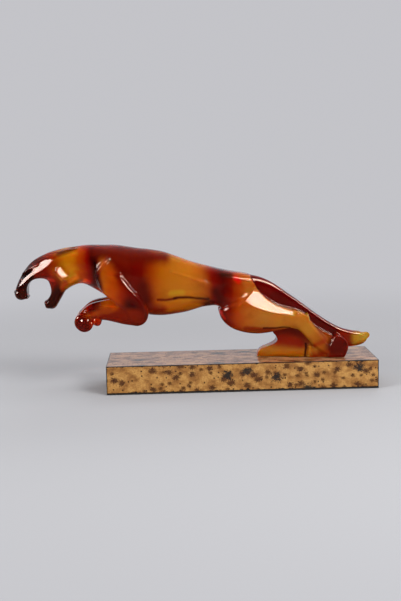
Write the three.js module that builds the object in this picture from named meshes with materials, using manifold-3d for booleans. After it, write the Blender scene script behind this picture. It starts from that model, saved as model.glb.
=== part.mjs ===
// A leaping big cat cast in amber glass and held by two studs to a veneered plinth.
// Millimetres, +Z up. The origin is the middle of the plinth's underside. The cat faces -X.
import * as THREE from "three";
import { mergeVertices } from "three/addons/utils/BufferGeometryUtils.js";
import Module from "manifold-3d";

// Driving dimensions
const PLINTH = { length: 300, depth: 80, height: 32 };
const VENEER = 1; // thickness of each veneer sheet
const UNDERLAY = 1.5; // felt under the plinth
const PAD = 0.5; // rubber sheet between glass and plinth
// The mass under the haunches, in plan: places along X, and its half thickness at the first two
const STAND = { toe: 18, step: 76, heel: 116, toeHalf: 6, stepHalf: 17 };
const PAW_HALF = 20; // half the width across both hind paws
const MOUTH = { x: -223.3, z: 114, radius: 13.3 }; // the round gap between the jaws
const FIXING_X = [76, 104]; // the two threaded studs that hold the glass
const STUD = { radius: 2, inGlass: 18, belowNut: 1.5 };
const NUT = { acrossFlats: 7, thickness: 3.2, bore: 2.05 };
const WASHER = { radius: 6, bore: 2.15, thickness: 1 };
const GRIP = 20; // from the plinth's top down to the washers
const BOND_GAP = 0.3; // adhesive round each stud, in the glass
const CLEARANCE = 0.5; // round each stud, in the plinth
const POCKET_CLEARANCE = 1; // round each washer, in the plinth
const ROUND_SIDES = 24;
const OVERSHOOT = 1; // how far a cutter reaches past the faces it cuts
const FOOT_TRIM = 6; // how far the glass pieces reach below the foot before it is cut flat

const CORE = {
  length: PLINTH.length - 2 * VENEER,
  depth: PLINTH.depth - 2 * VENEER,
  bottom: UNDERLAY,
  top: PLINTH.height - VENEER,
};
CORE.middle = (CORE.bottom + CORE.top) / 2;
const GLASS_FOOT = PLINTH.height + PAD; // the height at which the glass starts
const CUT_BELOW = GLASS_FOOT - FOOT_TRIM;
const POCKET_TOP = PLINTH.height - GRIP; // where each washer bears, inside its pocket
const NUT_TOP = POCKET_TOP - WASHER.thickness;

const wasm = await Module();
wasm.setup();

// ---------------------------------------------------------------- solids and meshes

// A closed three.js geometry as a manifold-3d solid.
function solid(geometry) {
  const bare = geometry.index ? geometry.toNonIndexed() : geometry.clone();
  bare.deleteAttribute("normal");
  bare.deleteAttribute("uv");
  const merged = mergeVertices(bare, 1e-4);
  return new wasm.Manifold(
    new wasm.Mesh({
      numProp: 3,
      vertProperties: new Float32Array(merged.attributes.position.array),
      triVerts: new Uint32Array(merged.index.array),
    }),
  );
}

// A manifold-3d solid as a three.js geometry.
function geometryOf(shape) {
  const mesh = shape.getMesh();
  const geometry = new THREE.BufferGeometry();
  geometry.setAttribute("position", new THREE.BufferAttribute(mesh.vertProperties, 3));
  geometry.setIndex(new THREE.BufferAttribute(mesh.triVerts, 1));
  geometry.computeVertexNormals();
  return geometry;
}

// A box between two corners.
function block([x0, y0, z0], [x1, y1, z1]) {
  const geometry = new THREE.BoxGeometry(x1 - x0, y1 - y0, z1 - z0);
  return geometry.translate((x0 + x1) / 2, (y0 + y1) / 2, (z0 + z1) / 2);
}

// An upright cylinder, or a prism with a few sides, on the plinth's centre line.
function upright(radius, z0, z1, x, sides = ROUND_SIDES) {
  const geometry = new THREE.CylinderGeometry(radius, radius, z1 - z0, sides);
  return geometry.rotateX(Math.PI / 2).translate(x, 0, (z0 + z1) / 2);
}

// A flat outline in the XZ plane, given thickness from y0 to y1, with its edges rounded by a radius.
function slab(outline, y0, y1, edge) {
  const geometry = new THREE.ExtrudeGeometry(outline, {
    depth: y1 - y0 - 2 * edge,
    curveSegments: 6,
    bevelThickness: edge,
    bevelSize: edge,
    bevelOffset: -edge,
    bevelSegments: 3,
  });
  return geometry.rotateX(Math.PI / 2).translate(0, y1 - edge, 0);
}

// A rounded solid that follows a curve through oval stations [x, z, half width, y, half thickness].
// The half width is measured in the side view and the half thickness across it. The ends are domed.
function limb(stations, { rings = 12, sides = 14, vertical = false, square = 2 } = {}) {
  const centres = new THREE.CatmullRomCurve3(stations.map(([x, z, , y]) => new THREE.Vector3(x, y, z)));
  const sizes = new THREE.CatmullRomCurve3(stations.map(([, , a, , b]) => new THREE.Vector3(a, b, 0)));
  const domeRings = 3;
  const frames = [];
  for (let i = -domeRings; i <= rings + domeRings; i++) {
    const t = THREE.MathUtils.clamp(i / rings, 0, 1);
    const past = i < 0 ? i : Math.max(0, i - rings);
    const angle = (past / domeRings) * (Math.PI / 2);
    const centre = centres.getPoint(t);
    const size = sizes.getPoint(t);
    const along = centres.getTangent(t).setY(0).normalize();
    const across = vertical ? new THREE.Vector3(0, 0, 1) : new THREE.Vector3(-along.z, 0, along.x);
    centre.addScaledVector(along, size.x * Math.sin(angle));
    frames.push({ centre, across, a: size.x * Math.cos(angle), b: size.y * Math.cos(angle) });
  }
  const positions = [];
  const power = 2 / square;
  const rounded = (v) => Math.sign(v) * Math.abs(v) ** power;
  for (const { centre, across, a, b } of frames.slice(1, -1))
    for (let j = 0; j < sides; j++) {
      const turn = (j / sides) * 2 * Math.PI;
      const point = centre.clone().addScaledVector(across, a * rounded(Math.cos(turn)));
      positions.push(point.x, point.y + b * rounded(Math.sin(turn)), point.z);
    }
  const ringCount = frames.length - 2;
  const first = ringCount * sides;
  positions.push(...frames[0].centre.toArray(), ...frames.at(-1).centre.toArray());
  const faces = [];
  for (let j = 0; j < sides; j++) {
    const k = (j + 1) % sides;
    const end = (ringCount - 1) * sides;
    faces.push(first, j, k, first + 1, end + k, end + j);
    for (let i = 0; i < ringCount - 1; i++) {
      const p = i * sides;
      const q = p + sides;
      faces.push(p + j, q + j, p + k, p + k, q + j, q + k);
    }
  }
  const geometry = new THREE.BufferGeometry();
  geometry.setAttribute("position", new THREE.Float32BufferAttribute(positions, 3));
  geometry.setIndex(faces);
  return geometry;
}

// Half the thickness of the mass that stands on the plinth, at a place along it.
function standHalfWidth(x) {
  const { toe, step, toeHalf, stepHalf } = STAND;
  const half = THREE.MathUtils.mapLinear(x, toe, step, toeHalf, stepHalf);
  return THREE.MathUtils.clamp(half, toeHalf, stepHalf);
}

// The same stations on the other side of the figure's middle plane.
const mirrored = (stations) => stations.map(([x, z, a, y, b]) => [x, z, a, -y, b]);

const bothSides = (stations, options) => [
  solid(limb(stations, options)),
  solid(limb(mirrored(stations), options)),
];

// ---------------------------------------------------------------- the glass figure

// Chest, back and loins, from the base of the neck to the rump.
function trunk() {
  const profile = [
    // x, back, belly, half thickness
    [-186, 160.8, 122, 17],
    [-165, 163, 117, 20],
    [-140, 163.7, 101, 23],
    [-115, 160.3, 87, 24],
    [-90, 153.5, 80, 24],
    [-65, 144.8, 83.5, 22],
    [-40, 137, 90, 20],
    [-15, 130.4, 91, 19],
    [8, 126.8, 86, 17],
  ];
  const stations = profile.map(([x, back, belly, b]) => [x, (back + belly) / 2, (back - belly) / 2, 0, b]);
  return solid(limb(stations, { rings: 22, sides: 20, vertical: true, square: 2.4 }));
}

// Skull and muzzle, bent down from the neck.
function skull() {
  return solid(
    limb(
      [
        [-176, 142, 20, 0, 20],
        [-194, 140, 19, 0, 18],
        [-210, 139.5, 15.5, 0, 17],
        [-224, 136, 11.5, 0, 14],
        [-234.5, 126.5, 9.5, 0, 11.5],
        [-240.5, 115.5, 8.5, 0, 9.5],
        [-243.5, 110.5, 7.5, 0, 9],
      ],
      { rings: 16, sides: 16, square: 2.4 },
    ),
  );
}

// Lower jaw, hanging from the cheek to the chin.
function jaw() {
  return solid(
    limb([
      [-192, 131, 12, 0, 16],
      [-201, 119, 8.5, 0, 13],
      [-205, 108, 7, 0, 10],
      [-210.5, 98.5, 7, 0, 8.5],
    ]),
  );
}

// The round gap between the jaws, cut straight across the head.
function mouth() {
  const { x, z, radius } = MOUTH;
  const gap = new THREE.CylinderGeometry(radius, radius, PLINTH.depth, 32);
  return solid(gap.translate(x, 0, z));
}

function forelegs() {
  const arm = [
    [-144, 136, 11, 15, 11],
    [-142, 122, 14, 16, 12],
    [-130.5, 109.5, 13, 17, 12],
    [-120, 98.5, 12, 17, 11.5],
    [-114, 87, 12, 16.5, 11],
  ];
  const forearm = [
    [-114.5, 86, 12.5, 16.5, 11],
    [-127, 88, 13, 16, 10.5],
    [-140, 90.5, 12.5, 15.5, 10],
    [-152, 91, 11, 15, 9.5],
    [-164, 87.5, 10, 15, 9.5],
    [-172, 78, 11.4, 15, 10],
  ];
  const toe = [
    [-165, 75, 6, 15, 8],
    [-158.5, 77.5, 5.3, 15, 8],
  ];
  return [...bothSides(arm), ...bothSides(forearm), ...bothSides(toe, { rings: 4 })];
}

function hindLegs() {
  const thigh = [
    [-3, 106, 22, 11, 12],
    [-1, 93, 27, 12, 13],
    [12, 86, 24, 13, 13],
    [29, 81.5, 18.5, 14, 12],
    [45, 79, 13.5, 15, 11],
    [58, 77.5, 10.5, 15, 10],
    [66, 75.5, 9.5, 15, 9.5],
  ];
  const hock = [
    [64, 76.5, 9, 15, 9.5],
    [74, 66, 8.3, 15, 9],
    [86, 52.5, 8.3, 15, 8.5],
    [98, 43, 9, 14, 8],
  ];
  return [...bothSides(thigh, { rings: 16 }), ...bothSides(hock)];
}

// The rump runs on into a deep tail that lies between the hind legs.
function tail() {
  return solid(
    limb(
      [
        [-8, 108, 20, 0, 19],
        [20.5, 102, 20, 0, 14],
        [50.5, 86.5, 16, 0, 10],
        [82, 66.5, 13, 0, 9],
        [105, 54.5, 11, 0, 9],
        [122, 50, 9.5, 0, 8.5],
        [136.5, 50, 7.5, 0, 6.5],
        [144, 52.8, 3.6, 0, 3.5],
      ],
      { rings: 20, sides: 14 },
    ),
  );
}

// The mass under the haunches that stands on the plinth, a wedge with its narrow toe at the front.
function footBlock() {
  const outline = new THREE.Shape()
    .moveTo(STAND.toe, CUT_BELOW)
    .quadraticCurveTo(18, 40, 25, 41.5)
    .quadraticCurveTo(34, 43.5, 38.5, 47)
    .quadraticCurveTo(43.5, 53, 37, 60)
    .lineTo(34, 72)
    .lineTo(STAND.step, 71.5)
    .lineTo(108, 52)
    .lineTo(STAND.heel, CUT_BELOW)
    .lineTo(STAND.step, CUT_BELOW);
  const wedge = slab(outline, -1, 1, 0);
  const corners = wedge.attributes.position;
  for (let i = 0; i < corners.count; i++)
    corners.setY(i, corners.getY(i) * standHalfWidth(corners.getX(i)));
  return solid(wedge);
}

// Each hind paw stands on the plinth at the back of the block.
function paws() {
  const outline = new THREE.Shape()
    .moveTo(74, CUT_BELOW)
    .lineTo(75, 46)
    .lineTo(97, 46)
    .quadraticCurveTo(101, 56, 107, 57.5)
    .quadraticCurveTo(113, 56.5, 118.5, 50)
    .quadraticCurveTo(120.5, 44, 113, CUT_BELOW);
  return solid(slab(outline, -PAW_HALF, PAW_HALF, 2));
}

function glassFigure() {
  const parts = [trunk(), skull(), jaw(), ...forelegs(), ...hindLegs(), tail(), footBlock(), paws()];
  const whole = parts.reduce((sum, part) => sum.add(part)).subtract(mouth());
  const [x, y] = [PLINTH.length, PLINTH.depth];
  const below = solid(block([-x, -y, 0], [x, y, GLASS_FOOT]));
  const holeTop = GLASS_FOOT + STUD.inGlass + BOND_GAP;
  const bores = FIXING_X.map((x) => solid(upright(STUD.radius + BOND_GAP, 0, holeTop, x)));
  return geometryOf([below, ...bores].reduce((left, cut) => left.subtract(cut), whole));
}

// ---------------------------------------------------------------- fixings

const stud = (x) =>
  upright(STUD.radius, NUT_TOP - NUT.thickness - STUD.belowNut, GLASS_FOOT + STUD.inGlass, x);

function nut(x) {
  const corner = NUT.acrossFlats / Math.sqrt(3);
  const hexagon = solid(upright(corner, NUT_TOP - NUT.thickness, NUT_TOP, x, 6));
  return geometryOf(hexagon.subtract(solid(upright(NUT.bore, 0, NUT_TOP + OVERSHOOT, x))));
}

function washer(x) {
  const disc = solid(upright(WASHER.radius, NUT_TOP, POCKET_TOP, x));
  return geometryOf(disc.subtract(solid(upright(WASHER.bore, 0, POCKET_TOP + OVERSHOOT, x))));
}

// The holes that the studs need through a sheet or board.
const studHoles = () =>
  FIXING_X.map((x) => solid(upright(STUD.radius + CLEARANCE, -OVERSHOOT, GLASS_FOOT + OVERSHOOT, x)));

const pockets = () =>
  FIXING_X.map((x) => solid(upright(WASHER.radius + POCKET_CLEARANCE, -OVERSHOOT, POCKET_TOP, x)));

// A sheet of the stand's own plan shape, set back from its edge.
function pad() {
  const setBack = 1.5;
  const stations = [STAND.toe + 3 * setBack, STAND.step, STAND.heel - 2 * setBack];
  const nearSide = stations.map((x) => new THREE.Vector2(x, setBack - standHalfWidth(x)));
  const farSide = nearSide.map(({ x, y }) => new THREE.Vector2(x, -y)).reverse();
  const outline = new THREE.Shape([...nearSide, ...farSide]);
  const sheet = new THREE.ExtrudeGeometry(outline, { depth: PAD, bevelEnabled: false });
  sheet.translate(0, 0, PLINTH.height);
  return geometryOf(studHoles().reduce((left, hole) => left.subtract(hole), solid(sheet)));
}

// ---------------------------------------------------------------- plinth

function board(z0, z1) {
  const [x, y] = [CORE.length / 2, CORE.depth / 2];
  const wood = solid(block([-x, -y, z0], [x, y, z1]));
  return geometryOf([...studHoles(), ...pockets()].reduce((left, hole) => left.subtract(hole), wood));
}

function topVeneer() {
  const [x, y] = [PLINTH.length / 2, PLINTH.depth / 2];
  const sheet = solid(block([-x, -y, CORE.top], [x, y, PLINTH.height]));
  return geometryOf(studHoles().reduce((left, hole) => left.subtract(hole), sheet));
}

function sideVeneer(front) {
  const near = CORE.depth / 2;
  const [y0, y1] = front ? [-near - VENEER, -near] : [near, near + VENEER];
  const x = CORE.length / 2;
  return block([-x, y0, CORE.bottom], [x, y1, CORE.top]);
}

function endVeneer(left) {
  const near = CORE.length / 2;
  const [x0, x1] = left ? [-near - VENEER, -near] : [near, near + VENEER];
  const y = PLINTH.depth / 2;
  return block([x0, -y, CORE.bottom], [x1, y, CORE.top]);
}

const underlay = () =>
  block([-PLINTH.length / 2, -PLINTH.depth / 2, 0], [PLINTH.length / 2, PLINTH.depth / 2, UNDERLAY]);

// ---------------------------------------------------------------- the assembly

const finish = (color, roughness, metalness = 0) =>
  new THREE.MeshStandardMaterial({ color, roughness, metalness });

const AMBER = finish(0xa8480c, 0.05);
const BURL = finish(0xb5864a, 0.2);
const FIBREBOARD = finish(0x8a6a48, 0.9);
const FELT = finish(0x0d0c0b, 1);
const RUBBER = finish(0x151515, 0.8);
const BRASS = finish(0xb8923f, 0.3, 1);
const STEEL = finish(0x9a9c9f, 0.35, 1);

const ornament = new THREE.Group();

function put(name, geometry, material) {
  const mesh = new THREE.Mesh(geometry, material);
  mesh.name = name;
  ornament.add(mesh);
}

put("glass_figure", glassFigure(), AMBER);
put("glass_pad", pad(), RUBBER);
put("top_veneer", topVeneer(), BURL);
put("front_veneer", sideVeneer(true), BURL);
put("back_veneer", sideVeneer(false), BURL);
put("left_end_veneer", endVeneer(true), BURL);
put("right_end_veneer", endVeneer(false), BURL);
put("upper_core_board", board(CORE.middle, CORE.top), FIBREBOARD);
put("lower_core_board", board(CORE.bottom, CORE.middle), FIBREBOARD);
put("felt_underlay", underlay(), FELT);
["front", "rear"].forEach((place, i) => {
  put(`${place}_stud`, stud(FIXING_X[i]), STEEL);
  put(`${place}_washer`, washer(FIXING_X[i]), STEEL);
  put(`${place}_nut`, nut(FIXING_X[i]), BRASS);
});

export default ornament;
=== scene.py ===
"""A leaping big cat in streaked amber glass on a burl-veneered plinth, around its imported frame.

The glass figure is modelled as one distance field. Limbs and slabs are joined into it, with soft or
tight blends, and its surface is then turned into a mesh. The rest of the object keeps its CAD meshes
and gets procedural materials. Lengths inside the figure's section are millimetres in the row frame:
-X is the way the cat faces, Y is across it and Z is up. Blender's own units are metres.
"""

import math

import bpy
import numpy as np
import openvdb
from mathutils import Matrix, Vector

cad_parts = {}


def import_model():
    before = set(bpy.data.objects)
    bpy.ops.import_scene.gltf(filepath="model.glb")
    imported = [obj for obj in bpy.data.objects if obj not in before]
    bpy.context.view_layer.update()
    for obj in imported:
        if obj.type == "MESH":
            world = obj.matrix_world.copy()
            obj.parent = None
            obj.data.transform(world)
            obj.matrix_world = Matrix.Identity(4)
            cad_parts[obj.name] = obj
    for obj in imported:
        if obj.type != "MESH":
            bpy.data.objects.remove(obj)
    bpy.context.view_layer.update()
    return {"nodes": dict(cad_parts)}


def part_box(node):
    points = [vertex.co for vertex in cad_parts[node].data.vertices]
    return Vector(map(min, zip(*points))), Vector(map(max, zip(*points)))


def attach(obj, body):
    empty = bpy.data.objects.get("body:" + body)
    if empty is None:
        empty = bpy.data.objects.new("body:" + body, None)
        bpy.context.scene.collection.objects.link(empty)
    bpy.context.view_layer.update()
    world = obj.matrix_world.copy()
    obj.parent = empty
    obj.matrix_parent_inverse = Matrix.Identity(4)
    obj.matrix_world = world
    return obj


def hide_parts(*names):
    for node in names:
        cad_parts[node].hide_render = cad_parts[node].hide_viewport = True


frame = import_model()

MM = 0.001
VOXEL = 0.8  # the figure's grid, in mm
BODY = "root"

plinth_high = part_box("top_veneer")[1]
glass_low, glass_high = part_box("glass_figure")
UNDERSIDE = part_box("front_veneer")[0].z
GLASS_FOOT = glass_low.z / MM


# ------------------------------------------------------------------ a distance field


def spline(points, count=160):
    """Points along a Catmull-Rom curve through the given rows, whatever their number of columns."""
    rows = np.array(points, float)
    padded = np.vstack([2 * rows[0] - rows[1], rows, 2 * rows[-1] - rows[-2]])
    at = np.linspace(0, len(rows) - 1, count)
    i = np.minimum(at.astype(int), len(rows) - 2)
    t = (at - i)[:, None]
    a, b, c, d = (padded[i + k] for k in range(4))
    return 0.5 * (2 * b + (c - a) * t + (2 * a - 5 * b + 4 * c - d) * t**2 + (3 * b - a - 3 * c + d) * t**3)


def circle(x, z, radius, count=40):
    turn = np.linspace(0, 2 * np.pi, count, endpoint=False)
    return np.stack([x + radius * np.cos(turn), z + radius * np.sin(turn)], 1)


def nearest(points, gx, gz):
    """Distance from each place to a chain of rows [x, z, ...], its side, and the rows' other values there."""
    best = np.full(gx.shape, np.inf)
    side = np.zeros(gx.shape)
    values = np.zeros((points.shape[1] - 2, *gx.shape))
    for p, q in zip(points[:-1], points[1:]):
        dx, dz = q[:2] - p[:2]
        t = np.clip(((gx - p[0]) * dx + (gz - p[1]) * dz) / max(dx * dx + dz * dz, 1e-9), 0, 1)
        ox, oz = gx - p[0] - t * dx, gz - p[1] - t * dz
        distance = np.hypot(ox, oz)
        closer = distance < best
        best = np.where(closer, distance, best)
        side = np.where(closer, np.sign(dx * oz - dz * ox), side)
        for value, low, high in zip(values, p[2:], q[2:]):
            value[closer] = (low + t * (high - low))[closer]
    return best, side, values


def join(old, new, soft):
    """The union of two distances, rounded over a soft length where they meet."""
    h = np.maximum(soft - np.abs(old - new), 0) / np.maximum(soft, 1e-6)
    return np.minimum(old, new) - h * h * soft / 4


def without(old, tool, soft):
    """What is left of a distance when a tool is taken away, rounded over a soft length."""
    return -join(-old, tool, soft)


class Field:
    """A signed distance on a grid that covers one half of the figure, y >= 0. Inside is negative."""

    MARGIN = 4  # voxels
    FAR = 40.0  # mm
    LIMB_REACH, SLAB_REACH, FACET_REACH, TRIM_REACH = 18, 12, 40, 60  # mm round each kind of tool
    END_DROP = 0.5  # how fast a flat band falls away past its ends; smaller is faster
    TAPER = 0.2  # the share of a ledge's length over which it rises from each end

    def __init__(self, low, high, step):
        self.step = step
        self.low = np.floor(np.array([low[0], 0, low[2]]) / step - self.MARGIN) * step
        self.low[1] = 0
        counts = np.ceil((np.array(high) - self.low) / step + self.MARGIN).astype(int)
        self.x, self.y, self.z = (self.low[k] + step * np.arange(counts[k]) for k in range(3))
        self.value = np.full(counts, self.FAR, np.float32)

    def window(self, points, reach):
        """The part of the side view near some points, as two slices and two 2-D grids of x and z."""
        spans = []
        for axis, column in ((self.x, 0), (self.z, 1)):
            wanted = (axis >= points[:, column].min() - reach) & (axis <= points[:, column].max() + reach)
            hits = np.flatnonzero(wanted)
            spans.append(slice(hits[0], hits[-1] + 1))
        return *spans, *np.meshgrid(self.x[spans[0]], self.z[spans[1]], indexing="ij")

    def change(self, sx, sz, solid, soft, cut):
        act = without if cut else join
        self.value[sx, :, sz] = act(self.value[sx, :, sz], solid, soft)

    def limb(self, stations, power=(2.3,), soft=(3,), cut=False, bevels=()):
        """A rounded solid through rows [x, z, half width, y, half thickness].

        power says how square its section is, and soft how widely it blends into what is there already.
        Both are lists of values spread evenly along it. A bevel is a tuple for bevel_plane and a radius.
        """
        rows = spline(stations)
        along = np.linspace(0, 1, len(rows))
        spread = [np.interp(along, np.linspace(0, 1, len(v)), v) for v in (power, soft)]
        rows = np.column_stack([rows, *spread])
        sx, sz, gx, gz = self.window(rows, rows[:, 2].max() + self.LIMB_REACH)
        distance, _, values = nearest(rows, gx, gz)
        half_width, y, half_thick, power, soft = (v[:, None, :] for v in values)
        across = distance[:, None, :]
        aside = self.y[None, :, None] - y
        gauge = ((across / half_width) ** power + np.abs(aside / half_thick) ** power) ** (1 / power)
        radius = np.hypot(across, aside)
        solid = radius - radius / np.maximum(gauge, 1e-3)
        for curve, tilt, edge in bevels:
            solid = -join(-solid, -self.bevel_plane(curve, tilt, gx, gz), edge)
        self.change(sx, sz, solid, soft, cut)

    def bevel_plane(self, curve, tilt, gx, gz):
        """Height over a flat band through rows [x, z, y], which falls away on the left of the curve.

        The band is tilted in degrees from upright, and it is level along the curve. Past the curve's
        ends nothing is cut.
        """
        rows = spline(curve)
        distance, side, (y,) = nearest(rows, gx, gz)
        outward = (distance * side)[:, None, :]
        aside = self.y[None, :, None] - y[:, None, :]
        plane = outward * math.sin(math.radians(tilt)) + aside * math.cos(math.radians(tilt))
        past_start = self.past(rows[1], rows[0], gx, gz)
        past_end = self.past(rows[-2], rows[-1], gx, gz)
        beyond = np.maximum(np.maximum(past_start, past_end), 0) / self.END_DROP
        return plane - beyond[:, None, :]

    @staticmethod
    def past(before, end, gx, gz):
        """How far each place lies past the end of a line, times the length of the line's last step."""
        return (gx - end[0]) * (end[0] - before[0]) + (gz - end[1]) * (end[1] - before[1])

    def slab(self, outline, y, half_thick, soft=1.0, edge=1.0, cut=False):
        """A flat solid with a closed outline [x, z], about a plane y, with its edges rounded.

        half_thick is a number, or rows [x, half thickness].
        """
        rows = np.vstack([outline, outline[:1]])
        sx, sz, gx, gz = self.window(rows, self.SLAB_REACH)
        distance, _, _ = nearest(rows, gx, gz)
        inside = np.zeros(gx.shape, bool)
        for p, q in zip(rows[:-1], rows[1:]):
            if p[1] != q[1]:
                crosses = (p[1] > gz) != (q[1] > gz)
                inside ^= crosses & (gx < p[0] + (gz - p[1]) / (q[1] - p[1]) * (q[0] - p[0]))
        flat = np.where(inside, -distance, distance)[:, None, :]
        if not np.isscalar(half_thick):
            half_thick = np.interp(gx, *np.array(half_thick, float).T)[:, None, :]
        wall = np.abs(self.y[None, :, None] - y) - half_thick
        self.change(sx, sz, -join(-flat, -wall, edge), soft, cut)

    def trim_above(self, curve, edge):
        """Takes away what lies above a curve that runs from left to right, leaving a tight edge."""
        rows = spline(curve)
        sx, sz, gx, gz = self.window(rows, self.TRIM_REACH)
        keep = (gx >= rows[0, 0]) & (gx <= rows[-1, 0])
        distance, side, _ = nearest(rows, gx, gz)
        above = np.where(keep, distance * side, -self.FAR)[:, None, :]
        old = self.value[sx, :, sz]
        self.value[sx, :, sz] = -join(-old, -above, edge)

    def engrave(self, curve, width, depth):
        """Presses the surface in along a curve in the side view, or out where the depth is negative."""
        rows = spline(curve)
        sx, sz, gx, gz = self.window(rows, 4 * width)
        distance, _, _ = nearest(rows, gx, gz)
        self.value[sx, :, sz] += (depth * np.exp(-((distance / width) ** 2)))[:, None, :].astype(np.float32)

    def ledge(self, curve, height, fade, edge=0.7):
        """Raises the surface on the left of a curve, with a tight step at it that fades away further in."""
        rows = spline(curve)
        ends = np.minimum(np.linspace(0, 1, len(rows)), np.linspace(1, 0, len(rows)))
        rows = np.column_stack([rows, np.clip(ends / self.TAPER, 0, 1)])
        sx, sz, gx, gz = self.window(rows, 4 * fade)
        distance, side, (strength,) = nearest(rows, gx, gz)
        signed = distance * side
        rise = 1 / (1 + np.exp(-signed / edge * 2))
        lift = height * strength * rise * np.exp(-np.maximum(signed, 0) / fade)
        self.value[sx, :, sz] -= lift[:, None, :].astype(np.float32)

    def facet(self, curve, tilt, edge):
        """Cuts a flat band, as bevel_plane gives it, into everything that is there already."""
        sx, sz, gx, gz = self.window(np.array(curve, float), self.FACET_REACH)
        plane = self.bevel_plane(curve, tilt, gx, gz)
        old = self.value[sx, :, sz]
        self.value[sx, :, sz] = -join(-old, -plane, edge)

    def stand_on(self, z):
        self.value = np.maximum(self.value, (z - self.z)[None, None, :]).astype(np.float32)

    def mesh(self, name):
        """The field's surface, mirrored to the whole figure, as a smooth-shaded mesh in metres."""
        whole = np.concatenate([self.value[:, :0:-1, :], self.value], axis=1)
        grid = openvdb.FloatGrid(self.FAR)
        grid.copyFromArray(np.ascontiguousarray(whole, np.float32))
        points, quads = grid.convertToQuads(0.0)
        corner = np.array([self.low[0], -self.y[-1], self.low[2]])
        points = (points * self.step + corner) * MM
        mesh = bpy.data.meshes.new(name)
        mesh.from_pydata(points.tolist(), [], quads.tolist())
        mesh.shade_smooth()
        mesh.update()
        return mesh


# ------------------------------------------------------------------ the cat
# A limb's rows are [x, z, half width in the side view, y, half thickness across it].


def body(cat):
    """One solid from the upper jaw over the neck and the back to the rump."""
    muzzle_ridge = [
        [-249.5, 113.5, 8.7],
        [-241, 124, 10],
        [-233, 131.5, 11.1],
        [-225, 137, 12],
        [-217, 142.5, 13.1],
        [-210, 147.5, 14.1],
        [-203, 151, 15],
    ]
    muzzle_top = [
        [-250.6, 114.2, 8.2],
        [-243, 125.5, 9],
        [-235.7, 133.8, 9.4],
        [-227.8, 140.6, 10.4],
        [-219, 146, 11.9],
        [-210, 150, 14],
        [-203, 152.5, 16],
    ]
    cat.limb(
        [
            [-243.8, 110.2, 7.2, 0, 11],
            [-241, 115.5, 8.3, 0, 11.4],
            [-234.5, 126.3, 9.4, 0, 12.4],
            [-224, 136, 11.8, 0, 14],
            [-210, 139.8, 15.6, 0, 16],
            [-196, 140.8, 18.8, 0, 17],
            [-181, 141, 20.6, 0, 17.5],
            [-165, 140.2, 23, 0, 19.5],
            [-140, 133.3, 29.3, 0, 22.5],
            [-115, 123.7, 35, 0, 23.5],
            [-90, 117.6, 36.1, 0, 23],
            [-65, 114.6, 30.8, 0, 21.5],
            [-40, 113.8, 23.6, 0, 19.5],
            [-15, 111.4, 19.4, 0, 18.5],
            [6, 107.6, 19, 0, 15.5],
            [30, 101, 17, 0, 12],
        ],
        power=(3.4, 3, 2.4, 2.3, 2.6, 5),
        bevels=[(muzzle_ridge, 30, 1), (muzzle_top, 55, 1.2)],
    )


def face(cat):
    lower_jaw = [
        [-198, 127, 15.5, 0, 15.5],
        [-203, 117.5, 11, 0, 12.8],
        [-206, 108, 7.8, 0, 10.5],
        [-210.5, 98.5, 6.6, 0, 9.5],
    ]
    cat.limb(lower_jaw, power=(2.4, 2.6), soft=(8, 2))
    cheek = [[-198.2, 135.2, 5.8, 12, 10.8], [-194, 130.4, 5.8, 12, 10.6]]
    cheek_plane = [[-201.2, 136.4, 21], [-195.4, 128.9, 21]]
    cat.limb(cheek, power=(2.5,), soft=(0.8,), bevels=[(cheek_plane, 32, 0.6)])
    ear = [[-201, 152.5, 2.2, 9, 3.2], [-192, 156, 3, 10, 3.6], [-181, 158.3, 1.8, 9.5, 2.8]]
    cat.limb(ear, soft=(1.2,))
    cat.engrave([[-204, 150.2], [-192, 153], [-179, 156]], 1.2, 0.5)
    cat.slab(circle(-223.3, 114, 13.3), 0, 60, soft=2, cut=True)
    nose = [[-249.6, 111.8, 2.6, 0, 5.2], [-249.2, 109.2, 2.4, 0, 5]]
    cat.limb(nose, soft=(1,))
    upper_lip = [[-243, 106.3, 2.8, 0, 10.6], [-237.2, 106.3, 2, 0, 10.4]]
    cat.limb(upper_lip, power=(3,), soft=(1.5,))
    lower_lip = [[-216.3, 99.6, 2.4, 0, 9.2], [-214.6, 96, 3.4, 0, 9.2]]
    cat.limb(lower_lip, power=(3,), soft=(1.5,))
    eye_socket = [[-244, 129, 2.4, 7, 5.2], [-238, 132.8, 2.2, 9, 4.8], [-230.5, 137.1, 1.1, 10.8, 3.4]]
    cat.limb(eye_socket, soft=(0.8,), cut=True)
    cat.engrave([[-241, 132.6], [-232.5, 138.6], [-223.5, 143]], 1.2, -0.9)


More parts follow.
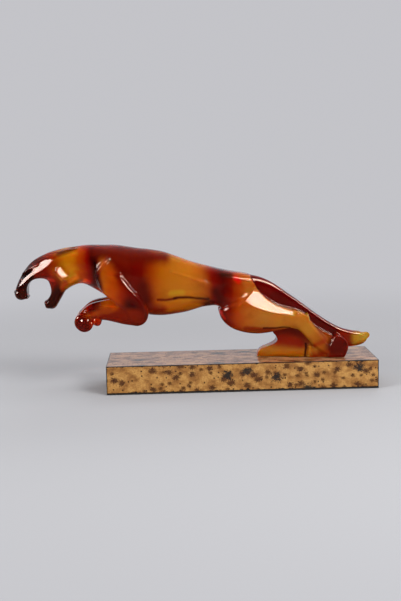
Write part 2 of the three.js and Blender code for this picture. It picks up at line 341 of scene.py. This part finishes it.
def foreleg(cat):
    rear_edge = [
        [-135.5, 133.7, 27],
        [-127, 122.6, 27.6],
        [-118.7, 111.2, 28],
        [-112, 102, 27.6],
        [-107.6, 93, 26.8],
        [-105.2, 83, 26],
    ]
    upper_arm = [
        [-140, 144, 9, 8, 8],
        [-144, 134, 13.3, 12.5, 11],
        [-141.5, 122, 15, 15, 12],
        [-130.5, 109.5, 13.2, 16.5, 12],
        [-120, 98.5, 11.8, 16.5, 11.5],
        [-114.3, 86.5, 11.5, 16.5, 11],
    ]
    cat.limb(upper_arm, power=(2.6, 4, 5), soft=(14, 3, 1, 1), bevels=[(rear_edge, 52, 0.8)])
    cat.ledge([[-143, 151], [-151, 145], [-157, 137], [-158.5, 128], [-154, 119]], 3.6, 9, edge=0.9)
    cat.engrave([[-157, 131.5], [-155, 136.7], [-151, 142.3], [-145.5, 148.8]], 1.6, -1.3)
    cat.engrave([[-121, 97.7], [-117.8, 96]], 1.2, -0.9)
    top_edge = [
        [-181, 83, 23.5],
        [-171, 91.6, 24],
        [-161.5, 95.3, 24.3],
        [-150, 96.2, 24.6],
        [-136, 95.6, 25],
        [-122, 93, 25.5],
    ]
    forearm = [
        [-115, 85.5, 12.5, 16.2, 10.5],
        [-127, 88, 13, 16, 10],
        [-140, 90.5, 12.3, 15.5, 9.5],
        [-152, 91, 10.6, 15, 9.2],
        [-163.5, 89.5, 9.3, 15, 9.2],
        [-172, 83.5, 8.5, 15, 9.2],
    ]
    cat.limb(forearm, power=(4, 4.5), soft=(1.5,), bevels=[(top_edge, 55, 0.8)])
    for y in (8, 12.8, 17.6, 22.4):  # the knuckles and the curled toes
        cat.limb([[-174.4, 79, 9.8, y, 4], [-173.2, 77.8, 9.8, y, 4]], power=(2.4,), soft=(1.2,))
        cat.limb([[-159.9, 79.4, 4.6, y, 3.6], [-158.9, 79.1, 4.6, y, 3.6]], power=(2.3,), soft=(0.8,))
    cat.engrave(circle(-172.4, 77.4, 6.8)[2:30], 0.9, 1.1)
    cat.engrave(circle(-172.2, 78.2, 3)[4:26], 1.1, -0.9)


def flank(cat):
    """The lines that the muscles make between shoulder and haunch."""
    cat.engrave([[-93, 102], [-75, 103], [-56, 104.2], [-42, 104.6], [-34, 101.5]], 1.8, 0.8)
    cat.engrave([[-76, 133.2], [-66, 129.6], [-56, 126], [-47, 122.6], [-40, 120]], 1.6, -1.3)
    cat.engrave([[-45, 119.8], [-39.5, 117.6]], 3.2, -1.9)


def hind_leg(cat):
    window_edge = [[-6, 105, 26.8], [10, 95.6, 26.3], [30, 86.6, 26.2], [60, 79.5, 25.4]]
    thigh = [
        [-7, 98, 16.5, 9, 11.5],
        [-2.5, 91.2, 24, 12, 14],
        [11.1, 85.8, 24.8, 13, 14],
        [29, 83.3, 22.8, 14, 12.5],
        [45, 80.5, 17.5, 14.5, 11.2],
        [58, 77.5, 12.5, 15, 10.2],
        [66, 75.5, 11, 15, 9.5],
    ]
    cat.limb(thigh, power=(2.3, 2.8, 3.6), soft=(7, 5, 2))
    cat.facet(window_edge, 28, edge=0.6)
    rim = [
        [10, 127.4],
        [14.7, 118.4],
        [20.3, 108.8],
        [29.5, 99.8],
        [40.2, 92.6],
        [51, 88.4],
        [64, 84.8],
        [74, 80],
    ]
    cat.trim_above(rim, edge=0.6)
    shank_edge = [
        [65, 83.3, 22.4],
        [73, 76.3, 22.4],
        [80.5, 68.1, 22],
        [87.5, 59.3, 21.7],
        [94.5, 51.2, 21],
        [99.5, 45.5, 20.4],
    ]
    shank = [
        [63, 76.5, 8.6, 15, 9.5],
        [74, 66, 8.3, 15, 9],
        [86, 52.5, 8.3, 15, 8.5],
        [98, 43, 9, 14, 8],
    ]
    cat.limb(shank, power=(4.5,), soft=(1.5,), bevels=[(shank_edge, 45, 0.6)])
    cat.engrave([[8, 66], [22, 65.6], [40, 66], [57, 66.5]], 1.3, 0.5)


def tail(cat):
    cat.limb(
        [
            [-8, 108, 20, 0, 14],
            [20.5, 102, 20, 0, 8],
            [50.5, 86.5, 16, 0, 6.5],
            [82, 66.5, 13, 0, 6],
            [105, 54.5, 11, 0, 6.5],
            [122, 50, 9.5, 0, 7],
            [136.5, 50, 7.5, 0, 5.5],
            [144, 52.8, 3.6, 0, 3.3],
        ],
        power=(2.3, 6, 5, 3),
        soft=(1.5,),
    )


def stand(cat):
    """The mass under the haunches, a wedge that is narrow at its toe, and the hind paw behind it."""
    below = GLASS_FOOT - 6
    toe = [18.5, 6]  # x, and half the thickness there
    step = [76, 17]
    front = spline(
        [
            [18.5, below],
            [19.5, 36],
            [21, 39.2],
            [25, 42.3],
            [32, 44.8],
            [38.5, 47.6],
            [41.5, 51.5],
            [39.8, 56],
            [36.5, 60.5],
            [34, 72],
        ]
    )
    wedge = np.vstack([front, [[76, 71.5], [108, 52], [116, below]]])
    cat.slab(wedge, 0, [toe, step], edge=0.8)
    sole = np.vstack([[[74, below], [75, 46], [97, 46]], [[113, 40], [113, below]]])
    cat.slab(sole, 0, 20, edge=1)
    claw = spline(
        [
            [99, 46],
            [103, 53],
            [107, 57],
            [112, 55.5],
            [118.5, 49],
            [119.5, 42],
            [116, 33],
            [113, below],
        ]
    )
    paw = np.vstack([claw, [[95, below]]])
    for y in (7, 11.4, 15.8, 20.2):  # the toes
        cat.slab(paw, y, 2.5, soft=0.8, edge=1.6)


def glass_figure():
    cat = Field(glass_low / MM, glass_high / MM, VOXEL)
    body(cat)
    face(cat)
    foreleg(cat)
    flank(cat)
    hind_leg(cat)
    tail(cat)
    stand(cat)
    cat.stand_on(GLASS_FOOT)
    figure = bpy.data.objects.new("glass_cat", cat.mesh("glass_cat"))
    bpy.context.scene.collection.objects.link(figure)
    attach(figure, BODY)
    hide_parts("glass_figure")
    return figure


# ------------------------------------------------------------------ materials


class Nodes:
    """A material's node tree, with short calls for the nodes used here."""

    def __init__(self, name):
        self.material = bpy.data.materials.new(name)
        self.material.use_nodes = True
        self.tree = self.material.node_tree
        self.shader = self.tree.nodes["Principled BSDF"]

    @classmethod
    def of_world(cls, room):
        made = cls.__new__(cls)
        room.use_nodes = True
        made.tree = room.node_tree
        made.shader = made.tree.nodes["Background"]
        return made

    def node(self, kind, inputs=(), **settings):
        made = self.tree.nodes.new(kind)
        for key, value in settings.items():
            setattr(made, key, value)
        for key, value in dict(inputs).items():
            self.set(made.inputs[key], value)
        return made

    def set(self, socket, value):
        if isinstance(value, bpy.types.NodeSocket):
            self.tree.links.new(value, socket)
        else:
            socket.default_value = value

    def shade(self, **inputs):
        """Sets the shader's inputs, named as in Blender with _ for each space, such as Base_Color."""
        for key, value in inputs.items():
            self.set(self.shader.inputs[key.replace("_", " ")], value)

    def math(self, operation, a, b=0.0, clamp=False):
        return self.node("ShaderNodeMath", {0: a, 1: b}, operation=operation, use_clamp=clamp).outputs[0]

    def position(self):
        return self.node("ShaderNodeTexCoord").outputs["Object"]

    def split(self, vector):
        return self.node("ShaderNodeSeparateXYZ", {0: vector}).outputs

    def stretched(self, vector, scale):
        return self.node("ShaderNodeMapping", {"Vector": vector, "Scale": scale}).outputs[0]

    def noise(self, vector, scale, detail=2.0, roughness=0.5):
        inputs = {"Vector": vector, "Scale": scale, "Detail": detail, "Roughness": roughness}
        return self.node("ShaderNodeTexNoise", inputs).outputs["Fac"]

    def between(self, value, low, high, to_low=0.0, to_high=1.0, smooth=True):
        kind = "SMOOTHSTEP" if smooth else "LINEAR"
        inputs = {"Value": value, "From Min": low, "From Max": high, "To Min": to_low, "To Max": to_high}
        return self.node("ShaderNodeMapRange", inputs, interpolation_type=kind).outputs[0]

    def ramp(self, value, stops):
        made = self.node("ShaderNodeValToRGB", {"Fac": value})
        made.color_ramp.interpolation = "LINEAR"
        marks = made.color_ramp.elements
        while len(marks) < len(stops):
            marks.new(0.5)
        for mark, (at, color) in zip(marks, stops):
            mark.position = at
            mark.color = (*linear(color), 1)
        return made.outputs["Color"]

    def mix(self, share, a, b, blend="MIX"):
        made = self.node("ShaderNodeMix", {0: share, 6: a, 7: b}, data_type="RGBA", blend_type=blend)
        return made.outputs[2]

    def bump(self, height, distance, strength=1.0):
        inputs = {"Height": height, "Distance": distance, "Strength": strength}
        return self.node("ShaderNodeBump", inputs).outputs[0]

    def vector(self, operation, a, b=(0, 0, 0), scale=1.0):
        made = self.node("ShaderNodeVectorMath", {0: a, 1: b, 3: scale}, operation=operation)
        return made.outputs["Value" if operation in ("DOT_PRODUCT", "LENGTH") else "Vector"]

    def warped(self, vector, scale, reach):
        """A place moved by up to about half a reach, in metres, by cloudy noise."""
        cloud = self.node("ShaderNodeTexNoise", {"Vector": vector, "Scale": scale, "Detail": 2.0})
        shift = self.vector("SUBTRACT", cloud.outputs["Color"], (0.5, 0.5, 0.5))
        return self.vector("ADD", vector, self.vector("SCALE", shift, scale=reach))

    def near(self, flat, a, b, radius, feather):
        """1 near the line from a to b, as [x, z] in mm in the side view, and 0 away from it."""
        start = Vector((a[0], 0, a[1])) * MM
        run = Vector((b[0], 0, b[1])) * MM - start
        offset = self.vector("SUBTRACT", flat, start)
        share = self.vector("DOT_PRODUCT", offset, run / run.length_squared)
        along = self.math("MULTIPLY", share, 1, clamp=True)
        gap = self.vector("SUBTRACT", offset, self.vector("SCALE", tuple(run), scale=along))
        inner = max((radius - feather / 2) * MM, 0)
        outer = (radius + feather) * MM
        return self.between(self.vector("LENGTH", gap), inner, outer, 1, 0)

    def voronoi(self, vector, scale):
        inputs = {"Vector": vector, "Scale": scale}
        return self.node("ShaderNodeTexVoronoi", inputs, voronoi_dimensions="2D").outputs

    def ragged_edges(self, place):
        """1 along the plinth's edges, in a thin and uneven line."""
        x, y, z = self.split(place)
        chips = self.noise(place, 170, 3, 0.7)
        width = self.between(chips, 0.5, 0.75, 0.8 * MM, 2.6 * MM)
        height = self.math("SUBTRACT", z, (plinth_high.z + UNDERSIDE) / 2)
        half_height = (plinth_high.z - UNDERSIDE) / 2
        close = []
        for value, half in ((x, plinth_high.x), (y, plinth_high.y), (height, half_height)):
            gap = self.math("SUBTRACT", half, self.math("ABSOLUTE", value))
            close.append(self.math("LESS_THAN", gap, width))
        a, b, c = close
        pairs = [self.math("MINIMUM", a, b), self.math("MINIMUM", b, c), self.math("MINIMUM", a, c)]
        return self.math("MAXIMUM", self.math("MAXIMUM", pairs[0], pairs[1]), pairs[2])


def linear(color):
    """An sRGB colour, 0xRRGGBB, as linear values."""
    parts = [(color >> shift & 255) / 255 for shift in (16, 8, 0)]
    return [((p + 0.055) / 1.055) ** 2.4 if p > 0.04045 else p / 12.92 for p in parts]


def flat_color(color):
    return (*linear(color), 1)


STREAKS = [
    # x in mm, colour
    (-250, 0x2E0806),
    (-238, 0x420906),
    (-226, 0x640E04),
    (-212, 0x8A1E04),
    (-203, 0xA44A06),
    (-194, 0xC07A0C),
    (-184, 0xC4740A),
    (-176, 0xB04206),
    (-167, 0x8A0A02),
    (-160, 0x3A0206),
    (-154, 0x7A1A04),
    (-148, 0xC0600E),
    (-139, 0xC0500A),
    (-130, 0x962406),
    (-120, 0x6E0804),
    (-108, 0x760C04),
    (-97, 0xA23A04),
    (-86, 0xB45C0A),
    (-72, 0xBE7216),
    (-52, 0xC4781A),
    (-40, 0xB05A14),
    (-32, 0x86140A),
    (-24, 0x560606),
    (-16, 0x801406),
    (-8, 0xA83E08),
    (2, 0xBA621A),
    (25, 0xBE7A28),
    (60, 0xBE7822),
    (82, 0xBE7A22),
    (93, 0xB05A10),
    (102, 0x7C1408),
]

# Ends [x, z] of a patch's middle line, its radius and its feather, all in mm, and its colour
PATCHES = [
    ((-74, 109.5), (-62, 109), 1.2, 4.5, 0xC4941C),  # the flank's yellow streak
    ((-188, 123), (-182, 127), 1.5, 4, 0xF08A20),  # throat
    ((-158, 152), (-156, 118), 1, 5, 0x2A0204),  # the dark band behind the neck
    ((-142, 152), (-127, 133), 3, 10, 0x6E0C04),
    ((-108, 118), (-104, 102), 3, 12, 0x5A0602),
    ((-50, 96), (-38, 97), 2, 5, 0x5C0C06),
    ((-84, 91), (-62, 92), 3, 4, 0xC45A08),
    ((-90, 102.4), (-68, 103.2), 0.3, 2.4, 0x6E1804),  # painted shade along the flank's groove, under the yellow streak
    # painted shade along the flank's groove, further back
    ((-70, 103.2), (-36, 104.2), 0.8, 2.2, 0x3A0804),
    ((-134, 153), (-84, 147), 3, 9, 0x701406),  # along the back
    ((-34, 99), (-30, 97), 2.5, 5, 0x240206),
    ((-28, 112), (-24, 100), 2, 7, 0x4A0406),
    ((-74, 92), (-48, 95), 4, 6, 0xC06C0A),  # belly
    ((-104, 82), (-40, 88), 1.8, 3.5, 0x7E1604),
    ((-100, 92), (-86, 90), 2, 9, 0x861E06),
    ((-6, 124.5), (-4, 122.5), 2, 3.5, 0xE01812),  # the red spot on the rump
    ((-20, 130), (-12, 129), 1.5, 4, 0x3A1812),
    ((-132, 131), (-109, 100), 1.5, 6, 0x6A0804),  # painted shade and dark reflection along the crease behind the upper arm
    ((-122, 97), (-110, 84), 4, 9, 0x3A0406),  # elbow
    ((-172, 82), (-116, 82), 9, 5, 0x861A04),  # forearm
    ((-168, 88), (-145, 93), 1.5, 4, 0xA63E0C),
    ((-174, 78), (-174, 77), 8, 5, 0x6C0804),  # paw
    ((-159, 79.5), (-158, 79.5), 4, 3, 0xA82806),
    ((-206, 122), (-222, 136), 5, 7, 0x7C1003),  # side of the face
    ((-203, 112), (-212, 96), 6, 6, 0x320808),  # lower jaw
    ((-194, 122), (-197, 117), 1.5, 4, 0xC04A12),
    # painted shadow below the ridge of the muzzle
    ((-232, 129), (-240, 118), 1.5, 3.5, 0x1E0404),
    ((-243, 129.6), (-232, 136.2), 1, 1.6, 0x080202),  # painted shade in the eye socket
    ((-182, 158), (-200, 154.5), 1.2, 3.5, 0x6A3416),  # painted dark reflection along the laid-back ear
    ((-152, 157), (-122, 154), 8, 8, 0x701608),  # over the shoulder
    ((4, 66), (60, 63), 2.5, 2.5, 0xA23A0C),  # the thigh's lower edge
    # painted shade in the groove under the thigh
    ((24, 67.5), (56, 67.5), 0.6, 1.2, 0x4A0E04),
    # painted red highlight along the thigh's front edge
    ((-25, 90), (-19, 78), 0.4, 1.8, 0xC01A14),
    ((104, 46), (112, 46), 7, 5, 0x5E0604),  # hind paw
    ((82, 48), (92, 53), 2, 4, 0xA83A08),
    ((94, 36), (84, 34), 3, 6, 0xA03008),
]

# The same, but only in the thin tail between the hind legs
TAIL = [
    ((14, 116), (50, 96), 14, 3, 0x700204),
    ((46, 94), (80, 76), 13, 3, 0x640204),
    ((76, 76), (112, 56), 12, 3, 0x5E0204),
    ((116, 54), (124, 48), 6, 6, 0x8A1A06),
    ((134, 50), (146, 54), 5, 6, 0xB88E2A),
]

# The same, but only in the mass that stands on the plinth
STAND = [
    ((10, 62), (80, 62), 8, 14, 0x7A0E02),
    ((40, 54), (66, 50), 6, 8, 0x961A02),
    ((16, 32), (70, 33), 1, 10, 0xC46A0A),
    ((72.8, 30), (72.8, 50), 0.9, 1.2, 0x420A02),  # a dark upright line close to the front stud
]


# How far from the middle, in mm, each list of patches reaches across the figure
PATCH_REACHES = ((PATCHES, 60), (STAND, 21), (TAIL, 9.5))
REACH_BLUR = 0.7 * MM


def amber_glass():
    m = Nodes("amber_glass")
    place = m.position()
    flow = m.warped(place, 13, 0.016)
    flow = m.warped(flow, 60, 0.003)
    x = m.split(m.warped(flow, 11, 0.02))[0]
    low, high = glass_low.x, glass_high.x
    length = (high - low) / MM
    stops = [((at - low / MM) / length, paint) for at, paint in STREAKS]
    color = m.ramp(m.between(x, low, high, smooth=False), stops)
    flat = m.vector("MULTIPLY", flow, (1, 0, 1))
    aside = m.math("ABSOLUTE", m.split(place)[1])
    for patches, reach in PATCH_REACHES:
        within = m.between(aside, reach * MM - REACH_BLUR, reach * MM + REACH_BLUR, 1, 0)
        for a, b, radius, feather, paint in patches:
            share = m.math("MULTIPLY", m.near(flat, a, b, radius, feather), within)
            color = m.mix(share, color, flat_color(paint))
    cloud = m.noise(m.stretched(flow, (1, 1, 1.6)), 38, 3, 0.5)
    color = m.mix(m.between(cloud, 0.45, 0.8, 0, 0.3), color, flat_color(0x9A3A10), "MULTIPLY")
    ripple = m.bump(m.noise(place, 32, 1), 0.0003, 0.5)
    m.shade(
        Base_Color=color,
        Roughness=m.between(m.noise(place, 120, 3), 0.3, 0.8, 0.015, 0.05),
        Normal=ripple,
        IOR=1.5,
        Specular_Tint=(0.5, 0.2, 0.12, 1),
        Transmission_Weight=0.45,
        Subsurface_Weight=1.0,
        Subsurface_Radius=(0.5, 0.15, 0.04),
        Subsurface_Scale=0.02,
    )
    return m


# Cells per metre, the share of cells left empty, an eye's reach in its cell, and its colour
EYES = (
    (58, 0.2, 0.42, 0x42220C),
    (95, 0.5, 0.42, 0x52300F),
    (34, 0.6, 0.38, 0x0C1416),
)
FRONT_GROUND = (0x6E441E, 0x9A6A34, 0xBC8C4C, 0x8E602E)
# The top's ground is the same burl painted darker and greyer: painted shade and painted reflection on the
# top.
TOP_GROUND_SHADE_AND_REFLECTION = (0x5A4030, 0x805C44, 0xA07854, 0x70503C)
FIBRE, HALO, PIN_DOT, BLACKENED = 0x6E4422, 0x74461E, 0x3A1E0C, 0x120C08


def burl_veneer(name, axes, grain, ground, coat):
    """One leaf of golden burl: dark eyes with feathered rays, pin dots, and blackened edges.

    axes are the two axes the leaf lies along, and grain is how its figure is scaled along each.
    """
    m = Nodes(name)
    place = m.position()
    across, along = (m.split(place)[axis] for axis in axes)
    leaf = m.node("ShaderNodeCombineXYZ", {0: across, 1: along}).outputs[0]
    flow = m.warped(leaf, 60, 0.004)
    grained = m.stretched(flow, (*grain, 1))
    cloudy = m.noise(grained, 75, 4, 0.62)
    color = m.ramp(cloudy, list(zip((0.3, 0.45, 0.6, 0.75), ground)))
    fibre = m.noise(grained, 700, 3, 0.6)
    color = m.mix(m.between(fibre, 0.45, 0.7, 0, 0.5), color, flat_color(FIBRE))
    for scale, chance, size, paint in EYES:
        moved = m.vector("ADD", grained, (scale * 0.01, 0, 0))
        eyes = m.voronoi(moved, scale)
        outward = m.vector("NORMALIZE", m.vector("SUBTRACT", moved, eyes["Position"]))
        rays = m.noise(m.vector("ADD", outward, eyes["Color"]), 6, 3, 0.7)
        frayed = m.noise(grained, scale * 11, 3, 0.7)
        tips = m.math("ADD", m.math("MULTIPLY", rays, 1.6), m.math("MULTIPLY", frayed, 1.3))
        gap = m.math("DIVIDE", eyes["Distance"], size)
        ink = m.math("SUBTRACT", m.math("SUBTRACT", tips, gap), 0.95)
        chosen = m.between(m.split(eyes["Color"])[0], chance, chance + 0.05)
        halo = m.math("MULTIPLY", m.between(ink, -0.3, 0.15, 0, 0.5), chosen)
        color = m.mix(halo, color, flat_color(HALO))
        heart = m.math("MULTIPLY", m.between(ink, 0.0, 0.08, 0, 0.92), chosen)
        color = m.mix(heart, color, flat_color(paint))
    dots = m.voronoi(flow, 190)
    chosen = m.between(m.split(dots["Color"])[0], 0.8, 0.82)
    pins = m.math("MULTIPLY", m.between(dots["Distance"], 0.1, 0.22, 1, 0), chosen)
    color = m.mix(pins, color, flat_color(PIN_DOT))
    color = m.mix(m.ragged_edges(place), color, flat_color(BLACKENED))
    m.shade(
        Base_Color=color,
        Roughness=m.between(fibre, 0.3, 0.7, 0.28, 0.42),
        Normal=m.bump(m.noise(flow, 240, 2), 0.0001, 0.4),
        Specular_IOR_Level=0.15,
        Coat_Weight=coat,
        Coat_Roughness=0.08,
    )
    return m


def felt():
    m = Nodes("felt")
    place = m.position()
    fuzz = m.noise(place, 2200, 3, 0.7)
    tone = m.noise(m.stretched(place, (1, 1, 4)), 90, 2)
    color = m.mix(m.between(tone, 0.35, 0.7), flat_color(0x16130F), flat_color(0x241F1A))
    m.shade(
        Base_Color=m.mix(m.between(fuzz, 0.4, 0.8, 0, 0.4), color, flat_color(0x3A332B)),
        Roughness=m.between(fuzz, 0.3, 0.7, 0.85, 1),
        Normal=m.bump(fuzz, 0.0003, 0.8),
        Sheen_Weight=0.4,
        Sheen_Roughness=0.5,
    )
    return m


def rubber():
    m = Nodes("gasket_rubber")
    place = m.position()
    grain = m.noise(place, 1600, 2)
    bloom = m.noise(place, 60, 3)
    m.shade(
        Base_Color=m.mix(m.between(bloom, 0.45, 0.75, 0, 0.6), flat_color(0x171615), flat_color(0x2A2826)),
        Roughness=m.between(bloom, 0.3, 0.7, 0.6, 0.85),
        Normal=m.bump(grain, 0.0001, 0.6),
    )
    return m


def fibreboard():
    m = Nodes("core_board")
    place = m.position()
    fibres = m.noise(m.stretched(place, (1, 1, 3)), 700, 4, 0.7)
    layers = m.noise(m.stretched(place, (0.2, 0.2, 6)), 90, 2)
    color = m.ramp(fibres, [(0.3, 0x6E5034), (0.5, 0x8C6A48), (0.7, 0xA5835C)])
    m.shade(
        Base_Color=m.mix(m.between(layers, 0.4, 0.7, 0, 0.5), color, flat_color(0x6A4A2E)),
        Roughness=m.between(fibres, 0.3, 0.7, 0.8, 0.95),
        Normal=m.bump(fibres, 0.0002, 0.7),
    )
    return m


THREAD_PITCH = 0.7 * MM


def thread_metal(name, color, worn, threaded=False):
    """Bare metal with turning marks, and with the rings of a thread where it has one."""
    m = Nodes(name)
    place = m.position()
    z = m.split(place)[2]
    scuffs = m.noise(m.stretched(place, (1, 1, 5)), 700, 3, 0.6)
    stains = m.noise(place, 180, 3)
    height = m.math("MULTIPLY", scuffs, 0.1)
    if threaded:
        rings = m.math("PINGPONG", z, THREAD_PITCH / 2)
        height = m.math("ADD", height, m.math("DIVIDE", rings, THREAD_PITCH / 2))
    m.shade(
        Base_Color=m.mix(m.between(stains, 0.4, 0.75), flat_color(color), flat_color(worn)),
        Metallic=1.0,
        Roughness=m.between(scuffs, 0.3, 0.7, 0.25, 0.5),
        Normal=m.bump(height, 0.0003 if threaded else 0.00005, 0.8),
    )
    return m


figure = glass_figure()
figure.data.materials.append(amber_glass().material)

FINISHES = {
    "front_veneer": burl_veneer("burl_front", (0, 2), (1, 1.2), FRONT_GROUND, 0.3),
    "back_veneer": burl_veneer("burl_back", (0, 2), (1, 1.2), FRONT_GROUND, 0.3),
    "end_veneer": burl_veneer("burl_end", (1, 2), (1, 1.2), FRONT_GROUND, 0.3),
    # the top leaf carries the painted shade and reflection in its ground
    "top_veneer": burl_veneer("burl_top", (0, 1), (0.7, 1.1), TOP_GROUND_SHADE_AND_REFLECTION, 0.5),
    "felt_underlay": felt(),
    "glass_pad": rubber(),
    "_core_board": fibreboard(),
    "_stud": thread_metal("stud_steel", 0x9EA0A2, 0x7C7A74, threaded=True),
    "_washer": thread_metal("washer_steel", 0xA4A6A8, 0x807E78),
    "_nut": thread_metal("nut_brass", 0xC39A4A, 0x8E6C30),
}
for ending, finish in FINISHES.items():
    for name, node in frame["nodes"].items():
        if name.endswith(ending):
            for slot in node.material_slots:
                slot.material = finish.material

# ------------------------------------------------------------------ floor, light and camera

ROOM = (0.55, 0.55, 0.58)  # the pale room, as linear values
FLOOR_COLOR = (0.32, 0.32, 0.33, 1)
FLOOR_RADIUS, FLOOR_SIDES = 8, 96
FLOOR_FADE = (0.2, 0.95)  # metres from the origin, from the floor's own colour to the room's
MIRRORED_TINT = (0.42, 0.7, 0.9)
MIRRORED_AHEAD = 0.02  # metres in front of the plain lamp
LENS, SENSOR = 59.9, 36  # mm
CAMERA_PLACE = (-75.3, -1114.5, 256.9)  # mm
CAMERA_TURN = (1.612, 8.164, -1.191)  # degrees to the right, down, and about the line of sight


def floor():
    """A pale disc that fades to the room's own even glow, so that no horizon shows."""
    rim = circle(0, 0, FLOOR_RADIUS, FLOOR_SIDES)
    mesh = bpy.data.meshes.new("floor")
    mesh.from_pydata([(x, y, 0) for x, y in rim], [], [tuple(range(len(rim)))])
    ground = bpy.data.objects.new("floor", mesh)
    bpy.context.scene.collection.objects.link(ground)
    m = Nodes("floor")
    away = m.between(m.vector("LENGTH", m.position()), *FLOOR_FADE)
    m.shade(
        Base_Color=m.mix(away, FLOOR_COLOR, (0, 0, 0, 1)),
        Roughness=0.6,
        Specular_IOR_Level=0.0,
        Emission_Color=(*ROOM, 1),
        Emission_Strength=away,
    )
    mesh.materials.append(m.material)


def area_light(name, place, target, size, power, mirrored=0.0):
    """A soft lamp of a given power in watts, and one that shows only in the glass's reflections, if any."""
    place, target = Vector(place), Vector(target)
    one_lamp(name, place, target, size, power, False)
    if mirrored:
        in_front = (target - place).normalized() * MIRRORED_AHEAD
        lamp = one_lamp(name + "_mirrored", place + in_front, target, size, mirrored, True)
        lamp.light_linking.receiver_collection = only_glass


def one_lamp(name, place, target, size, power, seen_by_mirrors):
    lamp = bpy.data.lights.new(name, "AREA")
    lamp.shape = "RECTANGLE"
    lamp.size, lamp.size_y = size
    lamp.energy = power
    lamp.color = MIRRORED_TINT if seen_by_mirrors else (1, 1, 1)
    holder = bpy.data.objects.new(name, lamp)
    holder.visible_camera = False
    holder.visible_glossy = seen_by_mirrors
    holder.visible_diffuse = not seen_by_mirrors
    holder.visible_transmission = not seen_by_mirrors
    holder.location = place
    holder.rotation_euler = (target - place).to_track_quat("-Z", "Y").to_euler()
    bpy.context.scene.collection.objects.link(holder)
    return holder


def world(seen, light, dark):
    """A pale room to the eye. What it lights and mirrors is dark on the camera's side, -Y, as a studio is."""
    room = bpy.data.worlds.new("studio")
    bpy.context.scene.world = room
    m = Nodes.of_world(room)
    toward = m.split(m.node("ShaderNodeTexCoord").outputs["Generated"])[1]
    color = m.mix(m.between(toward, -0.85, 0.25), (*dark, 1), (*light, 1))
    by_eye = m.node("ShaderNodeLightPath").outputs["Is Camera Ray"]
    m.shade(Color=m.mix(by_eye, color, (*seen, 1)), Strength=1.0)


def camera():
    """Looks along +Y and a little down, from the front of the plinth."""
    lens = bpy.data.cameras.new("camera")
    lens.sensor_width = SENSOR
    lens.lens = LENS
    holder = bpy.data.objects.new("camera", lens)
    yaw, pitch, roll = (math.radians(a) for a in CAMERA_TURN)
    holder.matrix_world = (
        Matrix.Translation(Vector(CAMERA_PLACE) * MM)
        @ Matrix.Rotation(-yaw, 4, "Z")
        @ Matrix.Rotation(math.pi / 2 - pitch, 4, "X")
        @ Matrix.Rotation(roll, 4, "Z")
    )
    bpy.context.scene.collection.objects.link(holder)
    bpy.context.scene.camera = holder


only_glass = bpy.data.collections.new("only_glass")
only_glass.objects.link(figure)

floor()
area_light("right_window", (0.68, -0.80, 0.82), (0.02, 0, 0.1), (0.56, 0.42), 16.5, mirrored=80)
area_light("left_window", (-1.18, -0.65, 0.70), (-0.22, 0, 0.13), (0.56, 0.48), 15.5, mirrored=82)
area_light("rear_window", (0.45, 1.3, 0.9), (0, 0, 0.1), (0.8, 0.6), 7)
area_light("ceiling", (0.0, 0.1, 1.6), (0.0, 0, 0.1), (2.2, 1.2), 11)
world(ROOM, (0.62, 0.62, 0.66), (0.02, 0.02, 0.02))
camera()
bpy.context.scene.view_settings.view_transform = "Standard"
